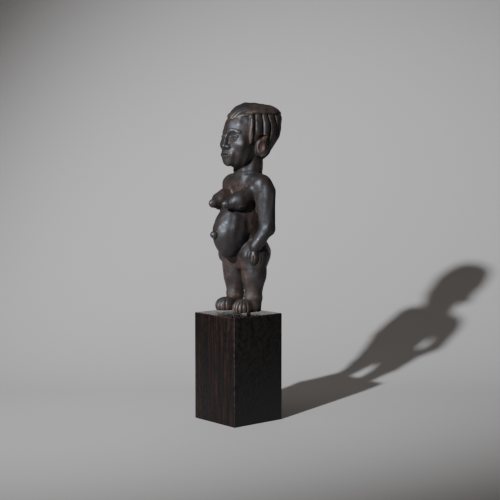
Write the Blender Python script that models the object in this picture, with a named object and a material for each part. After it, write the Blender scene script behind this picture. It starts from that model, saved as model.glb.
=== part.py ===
"""A carved hardwood maternity figure on its wooden block, held up by a steel pin.

The figure is made the way a carver works. Rounded masses are set out first and run together into one
body, then its surface is pulled onto the finished form and the grooves are cut into it. Every place on
the figure is in parts, and PART is the size of one, so the pose and the carving keep their proportions
at any height. The block, the pin and the gaps between the pieces are in metres.

The figure faces -Y, its left hand is at +X, and the origin is the centre of the block's underside.
"""

import math
from dataclasses import dataclass

import bmesh
import bpy
import numpy as np
from mathutils import Euler, Matrix, Vector

# Driving dimensions, in metres
FIGURE_HEIGHT = 0.1667
BLOCK_SIDE = 0.050
BLOCK_HEIGHT = 0.0865
BLOCK_EDGE = 0.0007
PIN_DIAMETER = 0.0032
PIN_DEPTH_IN_BLOCK = 0.030
PIN_DEPTH_IN_FIGURE = 0.009
SOLE_GAP = 0.0018
PIN_EDGE = 0.0003
CLEARANCE = 0.0003
OVERCUT = 0.001

# The layout of the figure, in parts of its height
SOLE_LEVEL = 1.8
CROWN_LEVEL = 168.5
BLOCKING_VOXEL = 1.7
CARVING_VOXEL = 0.8
PULL_STEPS = 4
LONGEST_PULL = 1.5
LEAST_STEEPNESS = 0.25
PROBE = 0.02
FAR_AWAY = 1e3
TINY = 1e-6
STROKE_POINTS = 25
FIGURE_TRIANGLES = 9300
CARVING_WEIGHT = 0.0001
CARVING_SHARE = 0.5
FINEST_CUT = 0.1
FACE_LEVEL = 118
PART = FIGURE_HEIGHT / (CROWN_LEVEL - SOLE_LEVEL)
PIN_X = 11.8 * PART
PIN_Y = 1.0 * PART
PIN_SEGMENTS = 32
EDGE_SEGMENTS = 2
BALL_DIVISIONS = 3
LIMB_DIVISIONS = 2
LIMB_SIDES = 24
AXES = np.eye(3)


def smooth_union(a, b, merge):
    """The nearer of two surfaces, run together over the width merge."""
    if merge <= 0:
        return np.minimum(a, b)
    near = np.maximum(merge - np.abs(a - b), 0) / merge
    return np.minimum(a, b) - near * near * merge / 4


def smooth_cut(a, b, merge):
    """Surface a with the shape b taken out of it."""
    return -smooth_union(-a, b, merge)


def smooth_step(low, high, value):
    share = np.clip((value - low) / (high - low), 0, 1)
    return share * share * (3 - 2 * share)


@dataclass
class Ball:
    """An egg-shaped mass, turned by angles in degrees."""

    centre: tuple
    radii: tuple
    merge: float = 0.0
    turn: tuple = (0, 0, 0)

    def turned(self):
        return Euler([math.radians(angle) for angle in self.turn])

    def distance(self, points):
        local = (points - np.array(self.centre)) @ np.array(self.turned().to_matrix())
        radii = np.array(self.radii)
        reach = np.linalg.norm(local / radii, axis=1)
        slope = np.linalg.norm(local / radii**2, axis=1)
        return reach * (reach - 1) / np.maximum(slope, TINY)

    def block_in(self, mesh, mirror):
        matrix = Matrix.LocRotScale(Vector(self.centre), self.turned(), Vector(self.radii))
        bmesh.ops.create_icosphere(mesh, subdivisions=BALL_DIVISIONS, radius=1, matrix=mirror @ matrix)


@dataclass
class Limb:
    """A round mass that tapers from one end to the other."""

    start: tuple
    end: tuple
    start_radius: float
    end_radius: float
    merge: float = 0.0

    def distance(self, points):
        start = np.array(self.start, float)
        along = np.array(self.end, float) - start
        share = np.clip((points - start) @ along / (along @ along), 0, 1)
        centre = start + share[:, None] * along
        radius = self.start_radius + share * (self.end_radius - self.start_radius)
        return np.linalg.norm(points - centre, axis=1) - radius

    def block_in(self, mesh, mirror):
        for place, radius in ((self.start, self.start_radius), (self.end, self.end_radius)):
            matrix = mirror @ Matrix.Translation(place) @ Matrix.Scale(radius, 4)
            bmesh.ops.create_icosphere(mesh, subdivisions=LIMB_DIVISIONS, radius=1, matrix=matrix)
        along = Vector(self.end) - Vector(self.start)
        turned = along.to_track_quat("Z", "Y").to_matrix().to_4x4()
        middle = Matrix.Translation((Vector(self.start) + Vector(self.end)) / 2)
        bmesh.ops.create_cone(
            mesh,
            cap_ends=True,
            segments=LIMB_SIDES,
            radius1=self.start_radius,
            radius2=self.end_radius,
            depth=along.length,
            matrix=mirror @ middle @ turned,
        )


class Stroke:
    """A groove or a ridge along a curve that is laid onto a surface first."""

    def __init__(self, points, width, depth, ends=(1, 1), raised=False):
        self.points = points
        self.width = width
        self.depth = -depth if raised else depth
        self.ends = ends
        self.path = None

    def lay_on(self, distance_of):
        """The curve through the points, pulled onto the surface."""
        corners = np.array(self.points, float)
        place = np.linspace(0, len(corners) - 1, STROKE_POINTS)
        first = np.minimum(place.astype(int), len(corners) - 2)
        share = (place - first)[:, None]
        before = corners[np.maximum(first - 1, 0)]
        here = corners[first]
        there = corners[first + 1]
        after = corners[np.minimum(first + 2, len(corners) - 1)]
        bend = 2 * before - 5 * here + 4 * there - after
        twist = 3 * (here - there) + after - before
        curve = here + share / 2 * (there - before + share * (bend + share * twist))
        self.path = pull_onto(curve, distance_of)

    def cut(self, points, distance):
        """The distances with the stroke cut in, or raised where its depth is below nought."""
        low = self.path.min(axis=0) - self.width
        high = self.path.max(axis=0) + self.width
        near = np.flatnonzero(np.all((points > low) & (points < high), axis=1))
        if not len(near):
            return distance
        close = points[near]
        nearest = np.full(len(near), FAR_AWAY)
        depth = np.zeros(len(near))
        steps = len(self.path) - 1
        for step in range(steps):
            start = self.path[step]
            along = self.path[step + 1] - start
            share = np.clip((close - start) @ along / max(along @ along, TINY), 0, 1)
            gap = np.linalg.norm(close - start - share[:, None] * along, axis=1)
            closer = gap < nearest
            place = (step + share) / steps
            taper = self.ends[0] + (self.ends[1] - self.ends[0]) * place
            depth = np.where(closer, taper, depth)
            nearest = np.where(closer, gap, nearest)
        share = np.clip(1 - nearest / self.width, 0, 1)
        distance = distance.copy()
        distance[near] += self.depth * depth * share * share * (3 - 2 * share)
        return distance


# The masses of the body, from the trunk out. Each one off the middle is given once and made on both
# sides, and merge is how wide it runs into those before it.
TRUNK = [
    Ball((0, 9.2, 81), (13.4, 11.2, 34)),
    Ball((9, 5.2, 75), (5, 8, 16), merge=4),
    Ball((0, 9.0, 98), (18, 10.5, 10), merge=4),
    Ball((0, 9, 50), (18.5, 12, 13), merge=6),
    Ball((0, 3.5, 43), (8, 6.5, 8.5), merge=3),
    Ball((9.3, 12.6, 47.8), (11, 10.6, 12.6), merge=3),
    Limb((0, 8.8, 105.5), (17.6, 9.2, 102.4), 9.6, 8.8, merge=3),
    Limb((0, 10.4, 104), (0, 10.8, 124), 12.2, 11.6, merge=2.5),
]
BREAST = [
    Limb((13.2, 3, 97), (10.5, -9, 90), 5.6, 7.2, merge=3),
    Limb((10.5, -9, 90), (8.5, -18.6, 88), 7.1, 3.6, merge=2),
    Ball((8.2, -20.8, 88.2), (1.8, 2.2, 1.8), merge=1.2),
]
BELLY = [
    Ball((0, -6.4, 67), (13.8, 14.9, 18.5), merge=2),
    Ball((0, -1.2, 78), (12, 11.6, 10), merge=6),
    Ball((0, -13.2, 63), (8.6, 10.6, 12.5), merge=5),
    Ball((0, -9.8, 55), (7.6, 9.6, 11.2), merge=4),
    Ball((0, -24.6, 64.0), (2.9, 3.3, 3.0), merge=0.8),
]
ARM = [
    Limb((20.4, 10.9, 97.2), (25.2, 8.5, 69), 8.5, 6.4, merge=2),
    Limb((25.2, 8.6, 68.6), (20, 0.8, 54.5), 6.2, 4.8, merge=1.5),
    Ball((19.7, 0.2, 46.8), (3.5, 4.2, 6.6), merge=0.7, turn=(-8, 0, 0)),
]
ARM_SLOT = Ball((15.9, 8, 78), (1.2, 22, 14), merge=1)
LEG = [
    Limb((11.0, 6.6, 46), (11.7, 6.6, 31), 12.5, 9.1, merge=3),
    Limb((11.7, 6.6, 31), (11.4, 6.4, 9), 9.1, 6.2, merge=4),
    Limb((11.4, 5.6, 14.4), (11.5, 6.8, 13.4), 7.2, 6.9, merge=0.8),
]
FOOT = [
    Ball((11.8, 5.8, 6), (6.6, 6.8, 8.4), merge=1),
    Ball((10.8, -3.6, 5.2), (7.3, 10.0, 7.3), merge=2),
]
HEAD = [
    Ball((0, 9, 145), (15.8, 20.2, 19), merge=2),
    Ball((0, 1.5, 135), (14, 13.6, 19), merge=4),
    Ball((0, -2.5, 125.5), (10.2, 10, 7.5), merge=5),
    Ball((0, -10.6, 121.2), (4.8, 3.4, 3.4), merge=3),
    Ball((9, -4.6, 135), (5, 5, 4.6), merge=4),
    Limb((0, -10.9, 142.5), (0, -14.3, 133.8), 1.6, 2.7, merge=2.5),
    Ball((3.1, -12.6, 132.9), (2.1, 2.4, 1.9), merge=1.2),
    Ball((0, -9.9, 127), (6.4, 4.4, 5.4), merge=3),
    Ball((13.2, 10.6, 132.6), (3.4, 4.4, 7.4), merge=1.5),
]
EYE_SOCKET = Ball((6.4, -12.4, 141), (4.5, 3.2, 3.2), merge=2.5)
EYE = Ball((6.3, -7.4, 140.7), (3.8, 3.1, 2.7), merge=0.4)
EAR = Ball((16.4, 10.6, 131.8), (2.7, 4.5, 7), merge=0.8, turn=(6, 0, -10))
EAR_BOWL = Ball((19, 8.8, 133.2), (2, 3.2, 4.2), merge=0.6, turn=(6, 0, -10))
HAIR = [
    Ball((0, 12.5, 147.5), (18.6, 22.2, 21)),
    Ball((0, 21, 149.5), (18.8, 20.6, 17.6), merge=3),
    Ball((0, 26.2, 155.2), (16.8, 16.0, 12.0), merge=2),
    Limb((0, 20, 143), (0, 17.6, 127), 18.4, 12.2, merge=4),
    Limb((12.6, 4.5, 152), (12.8, 1.5, 136), 4.6, 2.8, merge=2),
]
BODY = TRUNK + BELLY + BREAST + LEG + FOOT + ARM
EVERY_MASS = BODY + HEAD + HAIR + [EYE, EAR]

# The edge of the hair and its locks
HAIRLINE_PEAK = 154.6
HAIRLINE_RISE = 0.22
TEMPLE_EDGE = -1.4
TEMPLE_LEVEL = 140
TEMPLE_LEAN = 0.16
STRIP_POINT = 132.0
STRIP_SLOPE = 1.5
ABOVE_EAR = 142.0
BEHIND_EAR = 15.0
BEHIND_EAR_SLOPE = 0.14
EAR_EDGE_SHARE = 0.7
HAIR_EDGE = 0.8
NAPE_LEVEL = 124.2
NAPE_SLOPE = 0.5
NAPE_PLACE = 21.5
NAPE_EDGE = 2.5
CAP_LEVEL = 159.6
CAP_EDGE = 1.4
CAP_STEP = 1.0
LOCK_AXIS = 16.0
LOCK_START = -36
LOCK_PITCH = 22.5
LOCK_DEPTH = 2.3
LOCK_DOME = 0.3
VALLEY_WIDTH = 2.9
LOCK_BEGINS = (-0.35, -0.12)
LOCK_REACH = (2, 10)
HAIR_ON_HEAD = 0.4
HEAD_ON_BODY = 1.0

# The grooves cut into the surface and the ridges left standing on it
FOOT_CENTRE = (10.8, -3.6)
TOE_ANGLES = (-56, -22, 4, 28, 52, 76)
TOE_ARC = (7.3, 9.8)
TOE_GROOVE = ((0.62, 10.5), (0.95, 8), (1.02, 5), (0.92, 2))
TOE_GROOVE_WIDTH = 1.2
TOE_GROOVE_DEPTH = 1.2
TOE_GROOVE_ENDS = (0.4, 1)
STROKES = [
    # The lips, the eyelids and the brow
    Stroke([(0, -15, 128), (2.2, -14.8, 128.4), (4.8, -13, 127)], 1.3, 0.8, raised=True),
    Stroke([(0, -15, 125.5), (2.2, -14.5, 125.5), (4.4, -13, 126.2)], 1.4, 0.8, raised=True),
    Stroke([(0, -15, 126.9), (2.5, -14.8, 127), (5.2, -12.6, 126.8)], 0.8, 0.9),
    Stroke([(2.8, -10.6, 140.5), (6.3, -11, 142.7), (9.7, -9, 140.7)], 1.0, 0.6, raised=True),
    Stroke([(3, -10.6, 140.3), (6.3, -11, 138.7), (9.5, -9, 140.5)], 0.9, 0.4, raised=True),
    Stroke([(3.4, -10.6, 140.4), (6.3, -11, 140.2), (9.3, -9, 140.5)], 0.7, 0.6),
    Stroke([(2, -12, 145.2), (6.4, -11.4, 146.4), (11, -8, 144.6)], 2.2, 0.45, raised=True),
    # The rim of the ear
    Stroke(
        [(17.5, 7, 138), (18.5, 10, 139.6), (18.5, 14, 136), (18, 13.6, 130), (17, 10.2, 126)],
        1.4,
        0.9,
        raised=True,
    ),
    # Two notches above the brow, in the front edge of the hair
    Stroke([(0.5, -10.4, 155.4), (3, -7.6, 159.4), (6, -3, 163)], 1.2, 1.2, ends=(1, 0.2)),
    Stroke([(3.2, -10, 155.6), (7.5, -5.5, 160.2), (11, 0, 162.8)], 1.4, 1.4, ends=(1, 0.2)),
    # The ring at the foot of the neck and the fold under the breast
    Stroke([(0, -2, 112.4), (8, 1.5, 112), (11.4, 10, 112.4), (8, 18, 113), (0, 22, 113)], 2.0, 0.5),
    Stroke(
        [(14.6, 1.6, 99.5), (15, 3.4, 92), (13.4, -0.6, 86), (10, -9.5, 83), (5, -13, 83.5)],
        1.7,
        1.2,
        ends=(0.6, 0.8),
    ),
    # The spine, the parting below it, the fold under the buttock and the shin
    Stroke([(0, 20, 108), (0, 19, 90), (0, 19, 64)], 4.0, 0.9),
    Stroke([(0, 20, 58), (0, 23, 50), (0, 19, 40), (0, 10, 36)], 4.0, 3.0),
    Stroke([(20, 11, 39), (17, 16, 37), (11, 18.5, 36.4), (4, 17, 38)], 2.6, 0.5, ends=(0.3, 1)),
    Stroke([(12, -2, 31), (12.4, -1, 24), (12.4, 0, 18)], 3.0, 0.5, raised=True),
    # The fold under the belly, the outline of the hand and the gaps between the fingers
    Stroke(
        [(11.6, 1.8, 64), (11.3, -1.4, 58.4), (10.1, -4.5, 53.7), (7.3, -6.3, 49.7), (0, -10, 44)],
        1.6,
        1.1,
        ends=(0.4, 1),
    ),
    Stroke(
        [(16, -2.8, 51), (16.2, -3.2, 45), (17.2, -1.4, 40), (20, 1.6, 38.8), (22.8, 4.8, 42), (23, 5.2, 50)],
        1.1,
        1.0,
        ends=(0.4, 0.4),
    ),
    Stroke([(21.4, -2.2, 47), (21.4, -2.4, 44), (20, -2, 40.4)], 0.9, 0.8),
    Stroke([(22.8, 0.2, 47), (22.8, 0.2, 44), (21, 0.2, 40.4)], 0.9, 0.8),
    Stroke([(23.2, 2.2, 47), (23, 2.2, 44), (21.4, 2, 41)], 0.8, 0.6),
]


def union(points, masses):
    distance = np.full(len(points), FAR_AWAY)
    for mass in masses:
        distance = smooth_union(distance, mass.distance(points), mass.merge)
    return distance


def lock_valleys(across, along, height):
    """How far the locks stand back: narrow valleys between slightly domed locks."""
    out = np.hypot(across, along - LOCK_AXIS)
    turn = np.degrees(np.arctan2(along - LOCK_AXIS, across))
    lock = (turn - LOCK_START) / LOCK_PITCH
    off_valley = np.abs(lock - np.round(lock))
    gap = off_valley * np.radians(LOCK_PITCH) * out
    valley = LOCK_DOME * (1 - 2 * off_valley) ** 2 + (1 - LOCK_DOME) * smooth_step(VALLEY_WIDTH, 0, gap)
    behind_strip = smooth_step(*LOCK_BEGINS, lock)
    hanging = smooth_step(CAP_LEVEL + CAP_EDGE, CAP_LEVEL - CAP_EDGE, height)
    return (CAP_STEP + LOCK_DEPTH * valley) * behind_strip * hanging * smooth_step(*LOCK_REACH, out)


def bare_skin(across, along, height):
    """Below nought where no hair grows, in front of the hairline and round the ear."""
    temple = along - TEMPLE_EDGE - TEMPLE_LEAN * (height - TEMPLE_LEVEL)
    brow = np.maximum(temple, height - HAIRLINE_PEAK - HAIRLINE_RISE * across)
    over_ear = np.minimum(ABOVE_EAR, STRIP_POINT + STRIP_SLOPE * (along - TEMPLE_EDGE))
    behind_ear = BEHIND_EAR + BEHIND_EAR_SLOPE * (ABOVE_EAR - height)
    ear = np.maximum(height - over_ear, along - behind_ear) * EAR_EDGE_SHARE
    return np.minimum(brow, ear)


def hair_distance(points):
    """The hair alone: a cap over thick hanging locks, cut back from the face and the ear."""
    across, along, height = points.T
    hair = union(points, HAIR) + lock_valleys(across, along, height)
    hair = smooth_cut(hair, bare_skin(across, along, height), HAIR_EDGE)
    under_nape = height - NAPE_LEVEL - NAPE_SLOPE * (along - NAPE_PLACE)
    return smooth_cut(hair, under_nape, NAPE_EDGE)


def rough_distance(points):
    """How far each point is outside the rough body, before the grooves, in parts."""
    folded = points.copy()
    folded[:, 0] = np.abs(folded[:, 0])
    body = smooth_cut(union(folded, BODY), ARM_SLOT.distance(folded), ARM_SLOT.merge)
    head = smooth_cut(union(folded, HEAD), EYE_SOCKET.distance(folded), EYE_SOCKET.merge)
    for mass in (EYE, EAR):
        head = smooth_union(head, mass.distance(folded), mass.merge)
    head = smooth_cut(head, EAR_BOWL.distance(folded), EAR_BOWL.merge)
    hair = hair_distance(folded)
    distance = smooth_union(body, smooth_union(head, hair, HAIR_ON_HEAD), HEAD_ON_BODY)
    return np.maximum(distance, SOLE_LEVEL - points[:, 2])


def figure_distance(points):
    """How far each point is outside the finished body, in parts."""
    distance = rough_distance(points)
    folded = points.copy()
    folded[:, 0] = np.abs(folded[:, 0])
    for stroke in STROKES:
        distance = stroke.cut(folded, distance)
    return distance


def toe_strokes():
    """The grooves between the toes, spread round the front of the foot."""
    strokes = []
    for angle in TOE_ANGLES:
        turn = math.radians(angle)
        out = np.array([math.sin(turn), -math.cos(turn)]) * TOE_ARC
        run = [(*(FOOT_CENTRE + out * share), height) for share, height in TOE_GROOVE]
        strokes.append(Stroke(run, TOE_GROOVE_WIDTH, TOE_GROOVE_DEPTH, TOE_GROOVE_ENDS))
    return strokes


def pull_onto(points, distance_of):
    """The points moved onto the surface where distance_of is nought, along its slope."""
    for _ in range(PULL_STEPS):
        here = distance_of(points)
        slope = np.column_stack([distance_of(points + PROBE * axis) - here for axis in AXES]) / PROBE
        steepness = np.maximum(np.sum(slope * slope, axis=1), LEAST_STEEPNESS)
        move = np.clip(here, -LONGEST_PULL, LONGEST_PULL) / steepness
        points = points - move[:, None] * slope
    return points


def blocked_in(masses):
    """All the masses as overlapping closed shapes in one mesh, in parts."""
    mesh = bmesh.new()
    for mass in masses:
        middle = (mass.centre if isinstance(mass, Ball) else mass.end)[0] == 0
        for side in (1,) if middle else (1, -1):
            mass.block_in(mesh, Matrix.Scale(side, 4, (1, 0, 0)))
    bmesh.ops.recalc_face_normals(mesh, faces=mesh.faces)
    data = bpy.data.meshes.new("blocking")
    mesh.to_mesh(data)
    mesh.free()
    return data


def apply_modifiers(obj):
    graph = bpy.context.evaluated_depsgraph_get()
    data = bpy.data.meshes.new_from_object(obj.evaluated_get(graph))
    obj.modifiers.clear()
    old = obj.data
    obj.data = data
    bpy.data.meshes.remove(old)


def remeshed(obj, voxel):
    remesh = obj.modifiers.new("voxels", "REMESH")
    remesh.mode = "VOXEL"
    remesh.voxel_size = voxel
    apply_modifiers(obj)


def carved(obj, distance_of):
    points = np.empty(len(obj.data.vertices) * 3)
    obj.data.vertices.foreach_get("co", points)
    points = pull_onto(points.reshape(-1, 3), distance_of)
    obj.data.vertices.foreach_set("co", points.ravel())
    obj.data.update()


def thinned(obj, triangles):
    """The object brought down to a number of triangles, fewest where nothing is carved."""
    points = np.empty(len(obj.data.vertices) * 3)
    obj.data.vertices.foreach_get("co", points)
    points = points.reshape(-1, 3)
    cut = np.abs(figure_distance(points) - rough_distance(points)) > FINEST_CUT
    face = (points[:, 2] > FACE_LEVEL) & (points[:, 1] < TEMPLE_EDGE)
    plain = obj.vertex_groups.new(name="plain")
    for share, chosen in ((1.0, ~(cut | face)), (CARVING_SHARE, cut | face)):
        plain.add([int(index) for index in np.flatnonzero(chosen)], share, "REPLACE")
    now = sum(len(polygon.vertices) - 2 for polygon in obj.data.polygons)
    thin = obj.modifiers.new("thin", "DECIMATE")
    thin.ratio = triangles / now
    thin.vertex_group = plain.name
    thin.vertex_group_factor = CARVING_WEIGHT
    apply_modifiers(obj)
    obj.vertex_groups.clear()


def make_figure():
    figure = bpy.data.objects.new("figure", blocked_in(EVERY_MASS))
    bpy.context.scene.collection.objects.link(figure)
    for voxel in (BLOCKING_VOXEL, CARVING_VOXEL):
        remeshed(figure, voxel)
        carved(figure, figure_distance)
    thinned(figure, FIGURE_TRIANGLES)
    lift = Matrix.Translation((0, 0, BLOCK_HEIGHT + SOLE_GAP))
    soles = Matrix.Translation((0, 0, -SOLE_LEVEL))
    figure.data.transform(lift @ Matrix.Scale(PART, 4) @ soles)
    return figure


def wood(name, colour, roughness):
    material = bpy.data.materials.new(name)
    material.use_nodes = True
    shader = material.node_tree.nodes["Principled BSDF"]
    shader.inputs["Base Color"].default_value = (*colour, 1)
    shader.inputs["Roughness"].default_value = roughness
    return material


def finish(obj, material):
    obj.data.materials.clear()
    obj.data.materials.append(material)
    for face in obj.data.polygons:
        face.use_smooth = True
    return obj


def add_object(name, mesh):
    data = bpy.data.meshes.new(name)
    mesh.to_mesh(data)
    mesh.free()
    obj = bpy.data.objects.new(name, data)
    bpy.context.scene.collection.objects.link(obj)
    return obj


def round_bar(radius, bottom, top):
    """An upright round bar at the pin's place."""
    mesh = bmesh.new()
    bmesh.ops.create_cone(
        mesh,
        cap_ends=True,
        segments=PIN_SEGMENTS,
        radius1=radius,
        radius2=radius,
        depth=top - bottom,
        matrix=Matrix.Translation((PIN_X, PIN_Y, (bottom + top) / 2)),
    )
    return mesh


def drill(obj, radius, bottom, top):
    """A round hole sunk into the object at the pin's place."""
    cutter = add_object(obj.name + "_drill", round_bar(radius, bottom, top))
    hole = obj.modifiers.new("hole", "BOOLEAN")
    hole.operation = "DIFFERENCE"
    hole.solver = "EXACT"
    hole.object = cutter
    apply_modifiers(obj)
    bpy.data.objects.remove(cutter)


def make_block():
    mesh = bmesh.new()
    size = Matrix.Diagonal((BLOCK_SIDE, BLOCK_SIDE, BLOCK_HEIGHT, 1))
    bmesh.ops.create_cube(mesh, size=1, matrix=Matrix.Translation((0, 0, BLOCK_HEIGHT / 2)) @ size)
    bmesh.ops.bevel(
        mesh,
        geom=mesh.edges[:],
        offset=BLOCK_EDGE,
        segments=EDGE_SEGMENTS,
        profile=0.5,
        affect="EDGES",
        material=-1,
    )
    block = add_object("plinth_block", mesh)
    hole_bottom = BLOCK_HEIGHT - PIN_DEPTH_IN_BLOCK - CLEARANCE
    drill(block, PIN_DIAMETER / 2 + CLEARANCE, hole_bottom, BLOCK_HEIGHT + OVERCUT)
    return block


def make_pin():
    bottom = BLOCK_HEIGHT - PIN_DEPTH_IN_BLOCK
    top = BLOCK_HEIGHT + SOLE_GAP + PIN_DEPTH_IN_FIGURE
    mesh = round_bar(PIN_DIAMETER / 2, bottom, top)
    rims = [edge for edge in mesh.edges if abs(edge.verts[0].co.z - edge.verts[1].co.z) < PIN_EDGE]
    bmesh.ops.bevel(
        mesh,
        geom=rims,
        offset=PIN_EDGE,
        segments=1,
        profile=0.5,
        affect="EDGES",
        material=-1,
    )
    return add_object("mounting_pin", mesh)


for leftover in list(bpy.data.objects):
    bpy.data.objects.remove(leftover)
STROKES += toe_strokes()
for stroke in STROKES:
    stroke.lay_on(rough_distance)
figure = make_figure()
drill(
    figure,
    PIN_DIAMETER / 2 + CLEARANCE,
    BLOCK_HEIGHT + SOLE_GAP - OVERCUT,
    BLOCK_HEIGHT + SOLE_GAP + PIN_DEPTH_IN_FIGURE + CLEARANCE,
)
finish(figure, wood("dark_hardwood", (0.045, 0.030, 0.024), 0.38))
finish(make_block(), wood("block_wood", (0.022, 0.013, 0.010), 0.45))
steel = wood("pin_steel", (0.42, 0.41, 0.40), 0.35)
steel.node_tree.nodes["Principled BSDF"].inputs["Metallic"].default_value = 1.0
finish(make_pin(), steel)
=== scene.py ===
# %% [markdown]
# # A carved maternity figure
#
# A standing figure of a pregnant woman, carved from one piece of dark hardwood and polished by years of
# handling. A steel pin holds it just clear of a tall square block of fine-grained wood.
#
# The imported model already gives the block, the pin and a faceted figure at their real sizes. Here the
# figure is carved again at a finer scale on the same form, and every surface gets its finish.

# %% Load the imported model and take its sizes
import math
from dataclasses import dataclass

import bmesh
import bpy
import numpy as np
from mathutils import Euler, Matrix, Vector


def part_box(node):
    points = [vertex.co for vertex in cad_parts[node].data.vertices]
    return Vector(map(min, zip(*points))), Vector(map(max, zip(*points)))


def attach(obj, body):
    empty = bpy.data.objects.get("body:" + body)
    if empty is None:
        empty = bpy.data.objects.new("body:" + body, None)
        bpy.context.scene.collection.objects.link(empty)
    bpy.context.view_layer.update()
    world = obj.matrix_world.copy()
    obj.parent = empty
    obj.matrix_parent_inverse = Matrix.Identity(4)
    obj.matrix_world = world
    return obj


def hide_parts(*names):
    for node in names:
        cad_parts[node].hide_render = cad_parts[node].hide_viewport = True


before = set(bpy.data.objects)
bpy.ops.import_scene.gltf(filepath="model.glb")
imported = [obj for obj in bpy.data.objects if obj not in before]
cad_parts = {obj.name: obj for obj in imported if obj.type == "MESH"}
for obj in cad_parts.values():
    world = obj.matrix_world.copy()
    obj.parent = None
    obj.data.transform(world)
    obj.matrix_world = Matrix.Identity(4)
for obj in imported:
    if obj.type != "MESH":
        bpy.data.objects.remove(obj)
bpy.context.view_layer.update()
figure_low, figure_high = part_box("figure")
block_low, block_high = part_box("plinth_block")
pin_low, pin_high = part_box("mounting_pin")
SOLE_LEVEL = 1.8
CROWN_LEVEL = 168.5
PART = (figure_high.z - figure_low.z) / (CROWN_LEVEL - SOLE_LEVEL)
print("figure height", round(figure_high.z - figure_low.z, 4), "m, one part", round(PART * 1000, 3), "mm")

# %% [markdown]
# ## The camera
#
# The block is a square box, so its corners in the photograph fix the camera: how far round it stands, how
# far above the floor it looks from, and the lens. A long lens keeps the block's edges nearly parallel.

# %% Place the camera
CAMERA_TURN = math.radians(49.5)
CAMERA_RISE = math.radians(4.6)
CAMERA_DISTANCE = 1.0
CAMERA_LENS = 89.55
AIM_LEVEL = 0.100
AIM_RIGHT = 0.00946
AIM_UP = 0.03687

backward = Vector((
    math.sin(CAMERA_TURN) * math.cos(CAMERA_RISE),
    -math.cos(CAMERA_TURN) * math.cos(CAMERA_RISE),
    math.sin(CAMERA_RISE),
))
rightward = Vector((math.cos(CAMERA_TURN), math.sin(CAMERA_TURN), 0))
upward = backward.cross(rightward)
aim = Vector((0, 0, AIM_LEVEL)) + rightward * AIM_RIGHT + upward * AIM_UP
camera = bpy.data.objects.new("camera", bpy.data.cameras.new("camera"))
bpy.context.scene.collection.objects.link(camera)
camera.data.lens = CAMERA_LENS
camera.data.sensor_width = 36
camera.data.clip_start = 0.01
camera.location = aim + backward * CAMERA_DISTANCE
camera.rotation_euler = backward.to_track_quat("Z", "Y").to_euler()
bpy.context.scene.camera = camera
print("camera stands at", [round(value, 3) for value in camera.location])

# %% [markdown]
# ## A field for carving
#
# A carver roughs out round masses first and then lets them run into each other. The same thing can be
# written as a field: a function that says, for any point, how far it is outside the wood. Each mass is one
# short formula, a smooth minimum runs two masses together like wet clay, and a groove is a dent added
# along a curve. A mesh is then only asked to settle where the field is nought. It was chosen over pushing
# single vertices by hand because one number moves a whole limb and the skin stays smooth.
#
# Lengths in the field are in parts, the figure's own unit, so the carving keeps its proportions.

# %% Ways to join and cut masses
def smooth_union(a, b, merge):
    """The nearer of two surfaces, run together over the width merge."""
    if merge <= 0:
        return np.minimum(a, b)
    near = np.maximum(merge - np.abs(a - b), 0) / merge
    return np.minimum(a, b) - near * near * merge / 4


def smooth_cut(a, b, merge):
    """Surface a with the shape b taken out of it."""
    return -smooth_union(-a, b, merge)


def smooth_step(low, high, value):
    share = np.clip((value - low) / (high - low), 0, 1)
    return share * share * (3 - 2 * share)


# %% The two kinds of mass
@dataclass
class Ball:
    """An egg-shaped mass, turned by angles in degrees."""

    centre: tuple
    radii: tuple
    merge: float = 0.0
    turn: tuple = (0, 0, 0)

    def distance(self, points):
        turned = Euler([math.radians(angle) for angle in self.turn]).to_matrix()
        local = (points - np.array(self.centre)) @ np.array(turned)
        radii = np.array(self.radii)
        reach = np.linalg.norm(local / radii, axis=1)
        slope = np.linalg.norm(local / radii**2, axis=1)
        return reach * (reach - 1) / np.maximum(slope, 1e-6)


@dataclass
class Limb:
    """A round mass that tapers from one end to the other."""

    start: tuple
    end: tuple
    start_radius: float
    end_radius: float
    merge: float = 0.0

    def distance(self, points):
        start = np.array(self.start, float)
        along = np.array(self.end, float) - start
        share = np.clip((points - start) @ along / (along @ along), 0, 1)
        centre = start + share[:, None] * along
        radius = self.start_radius + share * (self.end_radius - self.start_radius)
        return np.linalg.norm(points - centre, axis=1) - radius


def union(points, masses):
    distance = np.full(len(points), 1e3)
    for mass in masses:
        distance = smooth_union(distance, mass.distance(points), mass.merge)
    return distance


# %% Pull points onto a surface
PULL_STEPS = 4
LONGEST_PULL = 1.5
PROBE = 0.02
AXES = np.eye(3)


def pull_onto(points, distance_of, steps=PULL_STEPS):
    """The points moved onto the surface where distance_of is nought, along its slope."""
    for _ in range(steps):
        here = distance_of(points)
        slope = np.column_stack([distance_of(points + PROBE * axis) - here for axis in AXES]) / PROBE
        steepness = np.maximum(np.sum(slope * slope, axis=1), 0.25)
        move = np.clip(here, -LONGEST_PULL, LONGEST_PULL) / steepness
        points = points - move[:, None] * slope
    return points


# %% Strokes of the knife
STROKE_POINTS = 33


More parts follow.
